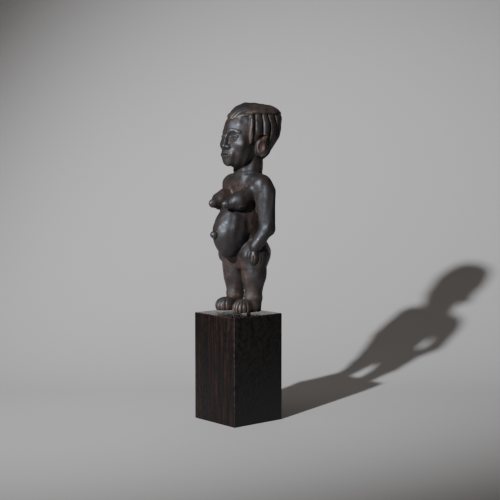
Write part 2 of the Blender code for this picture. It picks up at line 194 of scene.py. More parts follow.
class Stroke:
    """A groove or a ridge along a curve that is laid onto a surface first."""

    def __init__(self, points, width, depth, ends=(1, 1), raised=False):
        self.points = points
        self.width = width
        self.depth = -depth if raised else depth
        self.ends = ends
        self.path = None

    def lay_on(self, distance_of):
        """The curve through the points, pulled onto the surface."""
        corners = np.array(self.points, float)
        place = np.linspace(0, len(corners) - 1, STROKE_POINTS)
        first = np.minimum(place.astype(int), len(corners) - 2)
        share = (place - first)[:, None]
        before = corners[np.maximum(first - 1, 0)]
        here = corners[first]
        there = corners[first + 1]
        after = corners[np.minimum(first + 2, len(corners) - 1)]
        bend = 2 * before - 5 * here + 4 * there - after
        twist = 3 * (here - there) + after - before
        curve = here + share / 2 * (there - before + share * (bend + share * twist))
        self.path = pull_onto(curve, distance_of)

    def cut(self, points, distance):
        """The distances with the stroke cut in, or raised where its depth is below nought."""
        low = self.path.min(axis=0) - self.width
        high = self.path.max(axis=0) + self.width
        near = np.flatnonzero(np.all((points > low) & (points < high), axis=1))
        if not len(near):
            return distance
        close = points[near]
        nearest = np.full(len(near), 1e6)
        depth = np.zeros(len(near))
        steps = len(self.path) - 1
        for step in range(steps):
            start = self.path[step]
            along = self.path[step + 1] - start
            share = np.clip((close - start) @ along / max(along @ along, 1e-9), 0, 1)
            gap = np.linalg.norm(close - start - share[:, None] * along, axis=1)
            closer = gap < nearest
            taper = self.ends[0] + (self.ends[1] - self.ends[0]) * (step + share) / steps
            depth = np.where(closer, taper, depth)
            nearest = np.where(closer, gap, nearest)
        share = np.clip(1 - nearest / self.width, 0, 1)
        distance = distance.copy()
        distance[near] += self.depth * depth * share * share * (3 - 2 * share)
        return distance


# %% [markdown]
# ## The masses of the body
#
# The figure faces -Y and is the same on both sides, so each limb is written once, on its left, and the
# field folds every point over to that side. The head is large, the neck a thick column, the belly swollen
# to a navel that stands out like a knob, and the legs are short and heavy.

# %% Trunk, limbs and feet
TRUNK = [
    Ball((0, 9.2, 81), (13.4, 11.2, 34)),
    Ball((9, 5.2, 75), (5, 8, 16), merge=4),
    Ball((0, 9.0, 98), (18, 10.5, 10), merge=4),
    Ball((0, 9, 50), (18.5, 12, 13), merge=6),
    Ball((0, 3.5, 43), (8, 6.5, 8.5), merge=3),
    Ball((9.3, 12.6, 47.8), (11, 10.6, 12.6), merge=3),
    Limb((0, 8.8, 105.5), (17.6, 9.2, 102.4), 9.6, 8.8, merge=3),
    Limb((0, 10.4, 104), (0, 10.8, 124), 12.2, 11.6, merge=2.5),
]
BREAST = [
    Limb((13.2, 3, 97), (10.5, -9, 90), 5.6, 7.2, merge=3),
    Limb((10.5, -9, 90), (8.5, -18.6, 88), 7.1, 3.6, merge=2),
    Ball((8.2, -20.8, 88.2), (1.8, 2.2, 1.8), merge=1.2),
]
BELLY = [
    Ball((0, -6.4, 67), (13.8, 14.9, 18.5), merge=2),
    Ball((0, -1.2, 78), (12, 11.6, 10), merge=6),
    Ball((0, -13.2, 63), (8.6, 10.6, 12.5), merge=5),
    Ball((0, -9.8, 55), (7.6, 9.6, 11.2), merge=4),
    Ball((0, -24.4, 63.8), (3.2, 3.4, 3.2), merge=0.8),
]
ARM = [
    Limb((20.4, 10.9, 97.2), (25.2, 8.5, 69), 8.5, 6.4, merge=2),
    Limb((25.2, 8.6, 68.6), (20, 0.8, 54.5), 6.2, 4.8, merge=1.5),
    Ball((19.7, 0.2, 46.8), (3.5, 4.2, 6.6), merge=0.7, turn=(-8, 0, 0)),
]
ARM_SLOT = Ball((15.9, 8, 78), (1.2, 22, 14), merge=1)
LEG = [
    Limb((11.0, 6.6, 46), (11.7, 6.6, 31), 12.5, 9.1, merge=3),
    Limb((11.7, 6.6, 31), (11.4, 6.4, 9), 9.1, 6.2, merge=4),
    Limb((11.4, 5.6, 14.4), (11.5, 6.8, 13.4), 7.2, 6.9, merge=0.8),
]
FOOT = [
    Ball((11.8, 5.8, 6), (6.6, 6.8, 8.4), merge=1),
    Ball((10.8, -3.6, 5.2), (7.3, 10.0, 7.3), merge=2),
]

# %% Head, face and ears
HEAD = [
    Ball((0, 9, 145), (15.8, 20.2, 19), merge=2),
    Ball((0, 1.5, 135), (14, 13.6, 19), merge=4),
    Ball((0, -2.5, 125.5), (10.2, 10, 7.5), merge=5),
    Ball((0, -10.6, 121.2), (4.8, 3.4, 3.4), merge=3),
    Ball((9, -4.6, 135), (5, 5, 4.6), merge=4),
    Limb((0, -10.9, 142.5), (0, -14.3, 133.8), 1.6, 2.7, merge=2.5),
    Ball((3.1, -12.6, 132.9), (2.1, 2.4, 1.9), merge=1.2),
    Ball((0, -9.9, 127), (6.4, 4.4, 5.4), merge=3),
    Ball((13.2, 10.6, 132.6), (3.4, 4.4, 7.4), merge=1.5),
    Ball((14.4, 15.6, 136), (2.6, 3.6, 6.5), merge=2),
    Ball((9.4, 4.2, 151), (4.6, 6.4, 7), merge=2),
]
EYE_SOCKET = Ball((6.4, -12.4, 141), (4.5, 3.2, 3.2), merge=2.5)
EYE = Ball((6.3, -7.4, 140.7), (3.8, 3.1, 2.7), merge=0.4)
EAR = Ball((16.4, 10.6, 131.8), (2.7, 4.5, 7), merge=0.8, turn=(6, 0, -10))
EAR_BOWL = Ball((19.1, 6.8, 133), (2.5, 5.2, 4.2), merge=1, turn=(6, 0, -10))

# %% The hair and its locks
HAIR = [
    Ball((0, 12.5, 147.5), (18.6, 22.2, 21)),
    Ball((0, 21, 149.5), (18.8, 20.6, 17.6), merge=3),
    Ball((0, 26.2, 155.2), (16.8, 16.0, 12.0), merge=2),
    Limb((0, 20, 143), (0, 17.6, 127), 18.4, 12.2, merge=4),
    Limb((12.6, 4.5, 152), (12.8, 1.5, 136), 4.6, 2.8, merge=2),
]
HAIRLINE_PEAK = 154.6
HAIRLINE_RISE = 0.22
TEMPLE_EDGE = -1.4
TEMPLE_LEVEL = 140
TEMPLE_LEAN = 0.16
STRIP_POINT = 132.0
STRIP_SLOPE = 1.5
ABOVE_EAR = 142.0
BEHIND_EAR = 15.0
BEHIND_EAR_SLOPE = 0.14
EAR_EDGE_SHARE = 0.7
HAIR_EDGE = 0.8
NAPE_LEVEL = 124.2
NAPE_SLOPE = 0.5
NAPE_PLACE = 21.5
NAPE_EDGE = 2.5
CAP_LEVEL = 159.6
CAP_EDGE = 1.1
LOCK_ARCH = 0.8
CAP_STEP = 1.0
LOCK_AXIS = 16.0
LOCK_START = -36
LOCK_PITCH = 22.5
LOCK_DEPTH = 1.5
LOCK_DOME = 0.5
VALLEY_WIDTH = 1.0
LOCK_BEGINS = (-0.35, -0.12)
LOCK_REACH = (2, 10)
HAIR_ON_HEAD = 0.4
HEAD_ON_BODY = 1.0


def lock_valleys(across, along, height):
    """How far the locks stand back: narrow valleys between slightly domed locks."""
    out = np.hypot(across, along - LOCK_AXIS)
    turn = np.degrees(np.arctan2(along - LOCK_AXIS, across))
    lock = (turn - LOCK_START) / LOCK_PITCH
    off_valley = np.abs(lock - np.round(lock))
    gap = off_valley * np.radians(LOCK_PITCH) * out
    valley = LOCK_DOME * (1 - 2 * off_valley) ** 2 + (1 - LOCK_DOME) * smooth_step(VALLEY_WIDTH, 0, gap)
    behind_strip = smooth_step(*LOCK_BEGINS, lock)
    lock_top = CAP_LEVEL - LOCK_ARCH * (1 - 2 * off_valley) ** 2
    hanging = smooth_step(lock_top + CAP_EDGE, lock_top - CAP_EDGE, height)
    return (CAP_STEP + LOCK_DEPTH * valley) * behind_strip * hanging * smooth_step(*LOCK_REACH, out)


def bare_skin(across, along, height):
    """Below nought where no hair grows, in front of the hairline and round the ear."""
    temple = along - TEMPLE_EDGE - TEMPLE_LEAN * (height - TEMPLE_LEVEL)
    brow = np.maximum(temple, height - HAIRLINE_PEAK - HAIRLINE_RISE * across)
    over_ear = np.minimum(ABOVE_EAR, STRIP_POINT + STRIP_SLOPE * (along - TEMPLE_EDGE))
    behind_ear = BEHIND_EAR + BEHIND_EAR_SLOPE * (ABOVE_EAR - height)
    ear = np.maximum(height - over_ear, along - behind_ear) * EAR_EDGE_SHARE
    return np.minimum(brow, ear)


def hair_distance(points):
    """The hair alone: a cap over thick hanging locks, cut back from the face and the ear."""
    across, along, height = points.T
    hair = union(points, HAIR) + lock_valleys(across, along, height)
    hair = smooth_cut(hair, bare_skin(across, along, height), HAIR_EDGE)
    under_nape = height - NAPE_LEVEL - NAPE_SLOPE * (along - NAPE_PLACE)
    return smooth_cut(hair, under_nape, NAPE_EDGE)


# %% The grooves and ridges
FOOT_CENTRE = (10.8, -3.6)
TOE_ANGLES = (-56, -22, 4, 28, 52, 76)
TOE_ARC = (7.3, 9.8)
TOE_GROOVE = ((0.62, 10.5), (0.95, 8), (1.02, 5), (0.92, 2))
TOE_GROOVE_WIDTH = 1.2
TOE_GROOVE_DEPTH = 1.0
TOE_GROOVE_ENDS = (0.4, 1)
STROKES = [
    # The lips, the eyelids and the brow
    Stroke([(0, -15, 128), (2.2, -14.8, 128.4), (4.8, -13, 127)], 1.3, 0.8, raised=True),
    Stroke([(0, -15, 125.5), (2.2, -14.5, 125.5), (4.4, -13, 126.2)], 1.4, 0.8, raised=True),
    Stroke([(0, -15, 126.9), (2.5, -14.8, 127), (5.2, -12.6, 126.8)], 0.8, 0.9),
    Stroke([(2.8, -10.6, 140.5), (6.3, -11, 142.7), (9.7, -9, 140.7)], 1.0, 0.6, raised=True),
    Stroke([(3, -10.6, 140.3), (6.3, -11, 138.7), (9.5, -9, 140.5)], 0.9, 0.4, raised=True),
    Stroke([(3.4, -10.6, 140.4), (6.3, -11, 140.2), (9.3, -9, 140.5)], 0.7, 0.6),
    Stroke([(2, -12, 145.2), (6.4, -11.4, 146.4), (11, -8, 144.6)], 2.2, 0.45, raised=True),
    # The rim of the ear
    Stroke(
        [(17.5, 7, 138), (18.5, 10, 139.6), (18.5, 14, 136), (18, 13.6, 130), (17, 10.2, 126)],
        1.4,
        0.9,
        raised=True,
    ),
    # Two notches above the brow, in the front edge of the hair
    Stroke([(0.5, -10.4, 155.4), (3, -7.6, 159.4), (6, -3, 163)], 1.2, 1.2, ends=(1, 0.2)),
    Stroke([(3.2, -10, 155.6), (7.5, -5.5, 160.2), (11, 0, 162.8)], 1.4, 1.4, ends=(1, 0.2)),
    # The ring at the foot of the neck and the fold under the breast
    Stroke([(0, -2, 112.4), (8, 1.5, 112), (11.4, 10, 112.4), (8, 18, 113), (0, 22, 113)], 2.0, 0.5),
    Stroke(
        [(14.6, 1.6, 99.5), (15, 3.4, 92), (13.4, -0.6, 86), (10, -9.5, 83), (5, -13, 83.5)],
        1.7,
        1.2,
        ends=(0.6, 0.8),
    ),
    # The spine, the parting below it, the fold under the buttock and the shin
    Stroke([(0, 20, 108), (0, 19, 90), (0, 19, 64)], 4.0, 0.9),
    Stroke([(0, 20, 58), (0, 23, 50), (0, 19, 40), (0, 10, 36)], 4.0, 3.0),
    Stroke([(20, 11, 39), (17, 16, 37), (11, 18.5, 36.4), (4, 17, 38)], 2.6, 0.5, ends=(0.3, 1)),
    Stroke([(12, -2, 31), (12.4, -1, 24), (12.4, 0, 18)], 3.0, 0.5, raised=True),
    # The fold under the belly, the outline of the hand and the gaps between the fingers
    Stroke(
        [(11.6, 1.8, 64), (11.3, -1.4, 58.4), (10.1, -4.5, 53.7), (7.3, -6.3, 49.7), (0, -10, 44)],
        1.6,
        1.1,
        ends=(0.4, 1),
    ),
    Stroke(
        [(16, -2.8, 51), (16.2, -3.2, 45), (17.2, -1.4, 40), (20, 1.6, 38.8), (22.8, 4.8, 42), (23, 5.2, 50)],
        1.1,
        1.0,
        ends=(0.4, 0.4),
    ),
    Stroke([(21.4, -2.2, 47), (21.4, -2.4, 44), (20, -2, 40.4)], 0.9, 0.8),
    Stroke([(22.8, 0.2, 47), (22.8, 0.2, 44), (21, 0.2, 40.4)], 0.9, 0.8),
    Stroke([(23.2, 2.2, 47), (23, 2.2, 44), (21.4, 2, 41)], 0.8, 0.6),
]


def toe_strokes():
    """The grooves between the toes, spread round the front of the foot."""
    strokes = []
    for angle in TOE_ANGLES:
        turn = math.radians(angle)
        out = np.array([math.sin(turn), -math.cos(turn)]) * TOE_ARC
        run = [(*(FOOT_CENTRE + out * share), height) for share, height in TOE_GROOVE]
        strokes.append(Stroke(run, TOE_GROOVE_WIDTH, TOE_GROOVE_DEPTH, TOE_GROOVE_ENDS))
    return strokes


STROKES += toe_strokes()

# %% The whole field
BODY = TRUNK + BELLY + BREAST + LEG + FOOT + ARM
HOLE_SLACK = 0.3
PIN_HOLE_RADIUS = (pin_high.x - pin_low.x) / 2 / PART + HOLE_SLACK
PIN_X = (pin_high.x + pin_low.x) / 2 / PART
PIN_Y = (pin_high.y + pin_low.y) / 2 / PART
PIN_HOLE_TOP = (pin_high.z - figure_low.z) / PART + SOLE_LEVEL + HOLE_SLACK


def folded(points):
    """Every point brought over to the left side."""
    points = points.copy()
    points[:, 0] = np.abs(points[:, 0])
    return points


def rough_distance(points):
    """How far each point is outside the rough body, before the grooves, in parts."""
    side = folded(points)
    body = smooth_cut(union(side, BODY), ARM_SLOT.distance(side), ARM_SLOT.merge)
    head = smooth_cut(union(side, HEAD), EYE_SOCKET.distance(side), EYE_SOCKET.merge)
    for mass in (EYE, EAR):
        head = smooth_union(head, mass.distance(side), mass.merge)
    head = smooth_cut(head, EAR_BOWL.distance(side), EAR_BOWL.merge)
    hair = hair_distance(side)
    distance = smooth_union(body, smooth_union(head, hair, HAIR_ON_HEAD), HEAD_ON_BODY)
    return np.maximum(distance, SOLE_LEVEL - points[:, 2])


# The hand never leaves a surface quite even: shallow waves run over it in every direction.
MARK_COUNT = 16
MARK_DEPTH = 0.055
MARK_SPACING = (6, 15)
hand = np.random.default_rng(11)
mark_ways = hand.normal(size=(MARK_COUNT, 3))
mark_ways /= np.linalg.norm(mark_ways, axis=1)[:, None]
mark_ways *= 2 * np.pi / hand.uniform(*MARK_SPACING, size=(MARK_COUNT, 1))
mark_starts = hand.uniform(0, 2 * np.pi, size=MARK_COUNT)


def hand_marks(points):
    """How far the carver's hand strayed from the even form at each point."""
    return MARK_DEPTH * np.sum(np.sin(points @ mark_ways.T + mark_starts), axis=1)


def carved_distance(points):
    """How far each point is outside the finished figure, in parts."""
    distance = rough_distance(points) + hand_marks(points) * smooth_step(SOLE_LEVEL, 6, points[:, 2])
    side = folded(points)
    for stroke in STROKES:
        distance = stroke.cut(side, distance)
    hole = np.hypot(points[:, 0] - PIN_X, points[:, 1] - PIN_Y) - PIN_HOLE_RADIUS
    hole = np.maximum(hole, points[:, 2] - PIN_HOLE_TOP)
    return np.maximum(distance, -hole)


for stroke in STROKES:
    stroke.lay_on(rough_distance)
print(len(BODY) + len(HEAD) + len(HAIR), "masses and", len(STROKES), "strokes")

# %% [markdown]
# ## Carve the figure
#
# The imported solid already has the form, in about nine thousand triangles. A copy of it is merged, remade
# as an even skin of small squares with the Remesh modifier, and pulled onto the field. The face, the hands
# and the feet are then divided once more, because their carving is finer than the rest.

# %% Helpers for a mesh in parts
def apply_modifiers(obj):
    graph = bpy.context.evaluated_depsgraph_get()
    data = bpy.data.meshes.new_from_object(obj.evaluated_get(graph))
    obj.modifiers.clear()
    old = obj.data
    obj.data = data
    bpy.data.meshes.remove(old)


def mesh_points(mesh):
    points = np.empty(len(mesh.vertices) * 3)
    mesh.vertices.foreach_get("co", points)
    return points.reshape(-1, 3)


def set_mesh_points(mesh, points):
    mesh.vertices.foreach_set("co", points.ravel())
    mesh.update()


def triangle_count(obj):
    return sum(len(polygon.vertices) - 2 for polygon in obj.data.polygons)


to_parts = Matrix.Translation((0, 0, SOLE_LEVEL)) @ Matrix.Scale(1 / PART, 4)
to_parts = to_parts @ Matrix.Translation((0, 0, -figure_low.z))

# %% Copy the solid and remake its skin
# This size keeps the finished skin under 200,000 triangles.
SKIN_VOXEL = 0.76

carving = bpy.data.objects.new("carved_figure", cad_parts["figure"].data.copy())
bpy.context.scene.collection.objects.link(carving)
skin = bmesh.new()
skin.from_mesh(carving.data)
bmesh.ops.remove_doubles(skin, verts=skin.verts, dist=1e-6)
bmesh.ops.transform(skin, matrix=to_parts, verts=skin.verts)
skin.to_mesh(carving.data)
skin.free()
remesh = carving.modifiers.new("even skin", "REMESH")
remesh.mode = "VOXEL"
remesh.voxel_size = SKIN_VOXEL
apply_modifiers(carving)
set_mesh_points(carving.data, pull_onto(mesh_points(carving.data), carved_distance))
print("even skin of", triangle_count(carving), "triangles")

# %% Divide the finest carving once more
FINE_PLACES = [
    Ball((0, -6, 137), (19, 13, 20)),
    Ball((17, 10, 134), (6, 9, 10)),
    Ball((20, -1, 46), (6, 8, 9)),
    Ball((11, -7, 4), (9, 9, 9)),
    Ball((0, -24, 63), (5, 6, 5)),
]
skin = bmesh.new()
skin.from_mesh(carving.data)
points = folded(mesh_points(carving.data))
fine = union(points, FINE_PLACES) < 0
skin.verts.ensure_lookup_table()
edges = [edge for edge in skin.edges if fine[edge.verts[0].index] and fine[edge.verts[1].index]]
bmesh.ops.subdivide_edges(skin, edges=edges, cuts=1, use_grid_fill=True)
skin.to_mesh(carving.data)
skin.free()
set_mesh_points(carving.data, pull_onto(mesh_points(carving.data), carved_distance, steps=3))
print("carved skin of", triangle_count(carving), "triangles")

# %% [markdown]
# ## Where hands have rubbed, and where the hollows are darkened with dirt and painted shade
#
# Years of handling brighten the high places and leave the hollows dull. The hollows are also darkened, partly
# as dirt and partly as painted shade. Both follow the form, so they are measured from the field: where the
# surface bends outwards its value averaged round a point is higher than at the point itself, and in a hollow
# it is lower. A few places are also redder, duller or more rubbed than the rest, and those are given as
# soft-edged balls; one rubbed patch, on the hand, is partly a painted highlight. Each mask is kept on the
# mesh as an attribute, which the material reads, so the wear and the painted light stay on the carving from
# every side.

# %% Measure the bend of the surface
BEND_REACH = 0.9


def surface_bend(points, reach=BEND_REACH):
    """How sharply the surface bends at each point, above nought where it stands out."""
    here = carved_distance(points)
    around = sum(carved_distance(points + reach * side * axis) for axis in AXES for side in (1, -1))
    return (around - 6 * here) / reach


points = mesh_points(carving.data)
bend = surface_bend(points)
print("bend from", round(float(bend.min()), 2), "to", round(float(bend.max()), 2))

# %% Keep the masks on the mesh
RUBBED_AND_HIGHLIT_PLACES = [
    (Ball((0, 20, 163), (18, 18, 6)), 0.25),
    (Ball((15.5, -1, 148), (4, 3, 13)), 0.25),
    (Ball((6, -9, 156.5), (9, 8, 3.5)), 0.45),
    (Ball((15, 6, 160), (9, 9, 2.5)), 0.5),
    (Ball((8, -10, 135), (6, 5, 8)), 0.15),
    (Ball((12, 4, 13.5), (9, 10, 3)), 0.5),
    (Ball((11, -9, 5), (8, 7, 5)), 0.55),
    (Ball((0, -8, 43), (5, 6, 7)), 0.8),
    (Ball((12, -3, 35), (5, 5, 9)), 0.22),
    # The patch on the back of the hand is partly a painted highlight: a light oval that the carving leaves
    # out.
    (Ball((21, -2.5, 45), (2.5, 2.5, 3.4)), 0.4),
    (Ball((17, 2, 84), (3, 4, 12)), 0.35),
]
SPARED_PLACES = [
    (Ball((0, -10, 137), (13, 9, 19)), 0.9),
    (Ball((18, 10, 132), (4, 7, 9)), 0.8),
    (Ball((0, -24, 64), (5, 5, 5)), 0.6),
    (Ball((8, -20, 88), (4, 4, 4)), 0.5),
    (Ball((11, -9, 4), (9, 8, 7)), 0.3),
]
REDDENED_PLACES = [
    (Ball((18, 10, 133), (4, 4, 6)), 0.8),
    (Ball((16, 9, 140), (5, 7, 3)), 0.9),
    (Ball((15, -2, 146), (4, 4, 14)), 0.35),
    (Ball((5, -5, 99), (10, 8, 9)), 0.5),
    (Ball((14, 5, 76), (4, 9, 18)), 0.45),
    (Ball((0, -3, 42), (12, 8, 8)), 0.7),
    (Ball((11, 2, 22), (10, 12, 16)), 0.25),
    (Ball((11, -4, 4), (9, 12, 5)), 0.5),
]

# The right thigh has been handled less than the left one, and on the right foot the rubbing is cut back as
# painted shade.
LESS_RUBBED_AND_SHADED_PLACES = [
    (Ball((-11, -7, 6), (9, 12, 11)), 0.75),
    (Ball((-12, 0, 33), (10, 9, 12)), 0.5),
]
DULL_PLACES = [
    (Ball((27, 8, 84), (7, 11, 15)), 1.0),
    (Ball((12, 0, 15), (8, 9, 5)), 0.8),
    (Ball((16.5, 10, 104), (5, 9, 4)), 0.3),
]
PLACE_FADE = (1.2, -2.2)


def spread_over(places, points):
    """The strongest of some places at each point, fading out at the rim of each."""
    shares = [strength * smooth_step(*PLACE_FADE, place.distance(points)) for place, strength in places]
    return np.max(shares, axis=0)


def keep_mask(mesh, name, values):
    layer = mesh.attributes.new(name, "FLOAT", "POINT")
    layer.data.foreach_set("value", np.clip(values, 0, 1).astype(np.float32))


# The bends between which the wear and the dirt and painted shade of the hollows set in, and how far the hair
# is spared.
EDGE_BEND = (0.28, 1.3)
RUB_BEND = (-0.5, 0.3)
HOLLOW_BEND = (-0.15, -1.2)
HAIR_FADE = (0.25, -0.25)
HAIR_KEPT_EDGES = 0.6
HAIR_KEPT_HOLLOWS = 0.45

side = folded(points)
hairy = smooth_step(*HAIR_FADE, hair_distance(side) - rough_distance(points))
edges = smooth_step(*EDGE_BEND, bend) * (1 - HAIR_KEPT_EDGES * hairy)
edges *= 1 - spread_over(SPARED_PLACES, side)
rubbed_and_highlit = edges + spread_over(RUBBED_AND_HIGHLIT_PLACES, side) * smooth_step(*RUB_BEND, bend)
# Less tan on the right thigh, and on the right foot as painted shade.
rubbed_and_highlit *= 1 - spread_over(LESS_RUBBED_AND_SHADED_PLACES, points)
# How deep in a hollow each point lies; the material darkens the hollows with dirt and painted shade.
hollow_dirt_and_shade = smooth_step(*HOLLOW_BEND, bend) * (1 - HAIR_KEPT_HOLLOWS * hairy)
for name, mask in (
    ("rubbed_and_highlit", rubbed_and_highlit),
    ("hollow_dirt_and_shade", hollow_dirt_and_shade),
    ("reddened", spread_over(REDDENED_PLACES, side)),
    ("hairy", hairy),
    ("dull", spread_over(DULL_PLACES, side)),
):
    keep_mask(carving.data, name, mask)
    print(name, "over", round(float(np.mean(mask > 0.5)), 3), "of the skin")

# %% Stand the figure on its pin
carving.data.transform(to_parts.inverted())
carving.data.update()
for face in carving.data.polygons:
    face.use_smooth = True
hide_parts("figure")
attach(carving, "root")
print("figure stands from", round(figure_low.z, 4), "to", round(figure_high.z, 4), "m")

# %% [markdown]
# ## The block and the pin
#
# The block is sawn and planed square, with its edges just broken, and it has a blind hole for the pin. It
# starts as a cube, takes a small round on every edge with the bevel operator, and a Boolean drills it.

# %% Make the block
BLOCK_EDGE = 0.0007
WORN_FROM = 0.95 * BLOCK_EDGE
WORN_FULLY = 0.6 * BLOCK_EDGE
BORE_SLACK = 0.0003
BORE_OVERRUN = 0.001


def add_piece(name, mesh):
    data = bpy.data.meshes.new(name)
    mesh.to_mesh(data)
    mesh.free()
    piece = bpy.data.objects.new(name, data)
    bpy.context.scene.collection.objects.link(piece)
    return piece


def soften(piece, angle=math.radians(30)):
    piece.data.shade_smooth()
    piece.data.set_sharp_from_angle(angle=angle)


planed = bmesh.new()
block_size = Matrix.Diagonal((*(block_high - block_low), 1))
bmesh.ops.create_cube(planed, size=1, matrix=Matrix.Translation((block_low + block_high) / 2) @ block_size)
bmesh.ops.bevel(
    planed,
    geom=planed.edges[:],
    offset=BLOCK_EDGE,
    segments=4,
    profile=0.5,
    affect="EDGES",
    material=-1,
)
block = add_piece("planed_block", planed)

bore = bmesh.new()
pin_radius = (pin_high.x - pin_low.x) / 2
pin_middle = (pin_low + pin_high) / 2
bore_low = pin_low.z - BORE_SLACK
bore_high = block_high.z + BORE_OVERRUN
bmesh.ops.create_cone(
    bore,
    cap_ends=True,
    segments=48,
    radius1=pin_radius + BORE_SLACK,
    radius2=pin_radius + BORE_SLACK,
    depth=bore_high - bore_low,
    matrix=Matrix.Translation((pin_middle.x, pin_middle.y, (bore_high + bore_low) / 2)),
)
drill = add_piece("drill", bore)
hole = block.modifiers.new("hole", "BOOLEAN")
hole.operation = "DIFFERENCE"
hole.solver = "EXACT"
hole.object = drill
apply_modifiers(block)
bpy.data.objects.remove(drill)
soften(block)
corners = np.array([vertex.co for vertex in block.data.vertices])
from_faces = np.sort(np.minimum(corners - np.array(block_low), np.array(block_high) - corners), axis=1)
edge_depth = from_faces[:, 0] + from_faces[:, 1]
keep_mask(block.data, "worn", smooth_step(WORN_FROM, WORN_FULLY, edge_depth))
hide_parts("plinth_block")
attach(block, "root")
print("block", [round(value * 1000, 1) for value in block_high - block_low], "mm")

# %% Make the pin
PIN_RIM = 0.0003

turned = bmesh.new()
bmesh.ops.create_cone(
    turned,
    cap_ends=True,
    segments=48,
    radius1=pin_radius,
    radius2=pin_radius,
    depth=pin_high.z - pin_low.z,
    matrix=Matrix.Translation(pin_middle),
)
rims = [edge for edge in turned.edges if abs(edge.verts[0].co.z - edge.verts[1].co.z) < 1e-4]
bmesh.ops.bevel(
    turned,
    geom=rims,
    offset=PIN_RIM,
    segments=2,
    profile=0.5,
    affect="EDGES",
    material=-1,
)
pin = add_piece("turned_pin", turned)
soften(pin)
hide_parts("mounting_pin")
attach(pin, "root")
print("pin", round(pin_radius * 2000, 1), "mm thick")

# %% [markdown]
# ## The finishes
#
# The figure's wood is nearly black, from oil and handling, with brown showing where it is rubbed. The block
# is a straight-grained wood whose fine lines run upright. Both woods need grain that runs up the piece, so
# the grain is one node group: noise on Object coordinates, squeezed so that it draws out along Z.

# %% A small kit for node groups
def new_group(name, inputs, outputs):
    """An empty node group with named float or colour sockets."""
    group = bpy.data.node_groups.new(name, "ShaderNodeTree")
    for label, kind, value in inputs:
        socket = group.interface.new_socket(label, in_out="INPUT", socket_type=kind)
        if value is not None:
            socket.default_value = value
    for label, kind in outputs:
        group.interface.new_socket(label, in_out="OUTPUT", socket_type=kind)
    return group, group.nodes.new("NodeGroupInput"), group.nodes.new("NodeGroupOutput")


def add_node(tree, kind, links=(), **values):
    """A node with its plain values set and its inputs linked, given as input name to socket."""
    node = tree.nodes.new(kind)
    for name, value in values.items():
        setattr(node, name, value)
    for socket, source in dict(links).items():
        if isinstance(source, bpy.types.NodeSocket):
            tree.links.new(source, node.inputs[socket])
        else:
            node.inputs[socket].default_value = source
    return node


def remap(tree, value, low, high, to_low=0.0, to_high=1.0):
    """A value spread from low..high onto to_low..to_high, held inside them."""
    links = {"Value": value, "From Min": low, "From Max": high, "To Min": to_low, "To Max": to_high}
    return add_node(tree, "ShaderNodeMapRange", links).outputs["Result"]


def blend(tree, factor, a, b):
    """Colour a turning to colour b as the factor rises."""
    node = add_node(tree, "ShaderNodeMix", data_type="RGBA")
    for index, source in ((0, factor), (6, a), (7, b)):
        if isinstance(source, bpy.types.NodeSocket):
            tree.links.new(source, node.inputs[index])
        else:
            node.inputs[index].default_value = source
    return node.outputs[2]


def reckon(tree, operation, a, b=0.0):
    """One step of arithmetic."""
    return add_node(tree, "ShaderNodeMath", {0: a, 1: b}, operation=operation).outputs[0]


# %% The grain of wood
FLOAT = "NodeSocketFloat"
VECTOR = "NodeSocketVector"
PORES_PER_LINE = 1.7
CLOUD_SCALE = 60.0
NOISE_SPREAD = (0.3, 0.7)

grain_group, grain_in, grain_out = new_group(
    "upright grain",
    [("Vector", VECTOR, None), ("Lines per metre", FLOAT, 1500.0), ("Draw", FLOAT, 0.04)],
    [("Lines", FLOAT), ("Pores", FLOAT), ("Cloud", FLOAT)],
)
squeeze = add_node(grain_group, "ShaderNodeCombineXYZ", {0: 1.0, 1: 1.0, 2: grain_in.outputs["Draw"]})
drawn = add_node(
    grain_group,
    "ShaderNodeVectorMath",
    {0: grain_in.outputs["Vector"], 1: squeeze.outputs[0]},
    operation="MULTIPLY",
)
lines = add_node(
    grain_group,
    "ShaderNodeTexNoise",
    {
        "Vector": drawn.outputs[0],
        "Scale": grain_in.outputs["Lines per metre"],
        "Detail": 4.0,
        "Roughness": 0.6,
    },
)
pore_scale = reckon(grain_group, "MULTIPLY", grain_in.outputs["Lines per metre"], PORES_PER_LINE)
pores = add_node(
    grain_group,
    "ShaderNodeTexNoise",
    {"Vector": drawn.outputs[0], "Scale": pore_scale, "Detail": 2.0, "Roughness": 0.5},
)
cloud = add_node(
    grain_group,
    "ShaderNodeTexNoise",
    {"Vector": grain_in.outputs["Vector"], "Scale": CLOUD_SCALE, "Detail": 3.0, "Roughness": 0.55},
)
for label, source in (("Lines", lines), ("Pores", pores), ("Cloud", cloud)):
    spread = remap(grain_group, source.outputs["Fac"], *NOISE_SPREAD)
    grain_group.links.new(spread, grain_out.inputs[label])
print("grain group with", len(grain_group.nodes), "nodes")


def lay_grain(tree, place, lines_per_metre, draw):
    """The grain laid on a piece, with its own fineness and length of line."""
    grain = add_node(tree, "ShaderNodeGroup", node_tree=grain_group)
    tree.links.new(place, grain.inputs["Vector"])
    grain.inputs["Lines per metre"].default_value = lines_per_metre
    grain.inputs["Draw"].default_value = draw
    return grain


# %% The figure's dark wood
def new_material(name):
    material = bpy.data.materials.new(name)
    material.use_nodes = True
    return material, material.node_tree, material.node_tree.nodes["Principled BSDF"]


def attribute(tree, name):
    return add_node(tree, "ShaderNodeAttribute", attribute_name=name).outputs["Fac"]


def noise(tree, place, scale, detail=3.0, roughness=0.55):
    sockets = {"Vector": place, "Scale": scale, "Detail": detail, "Roughness": roughness}
    return add_node(tree, "ShaderNodeTexNoise", sockets).outputs["Fac"]


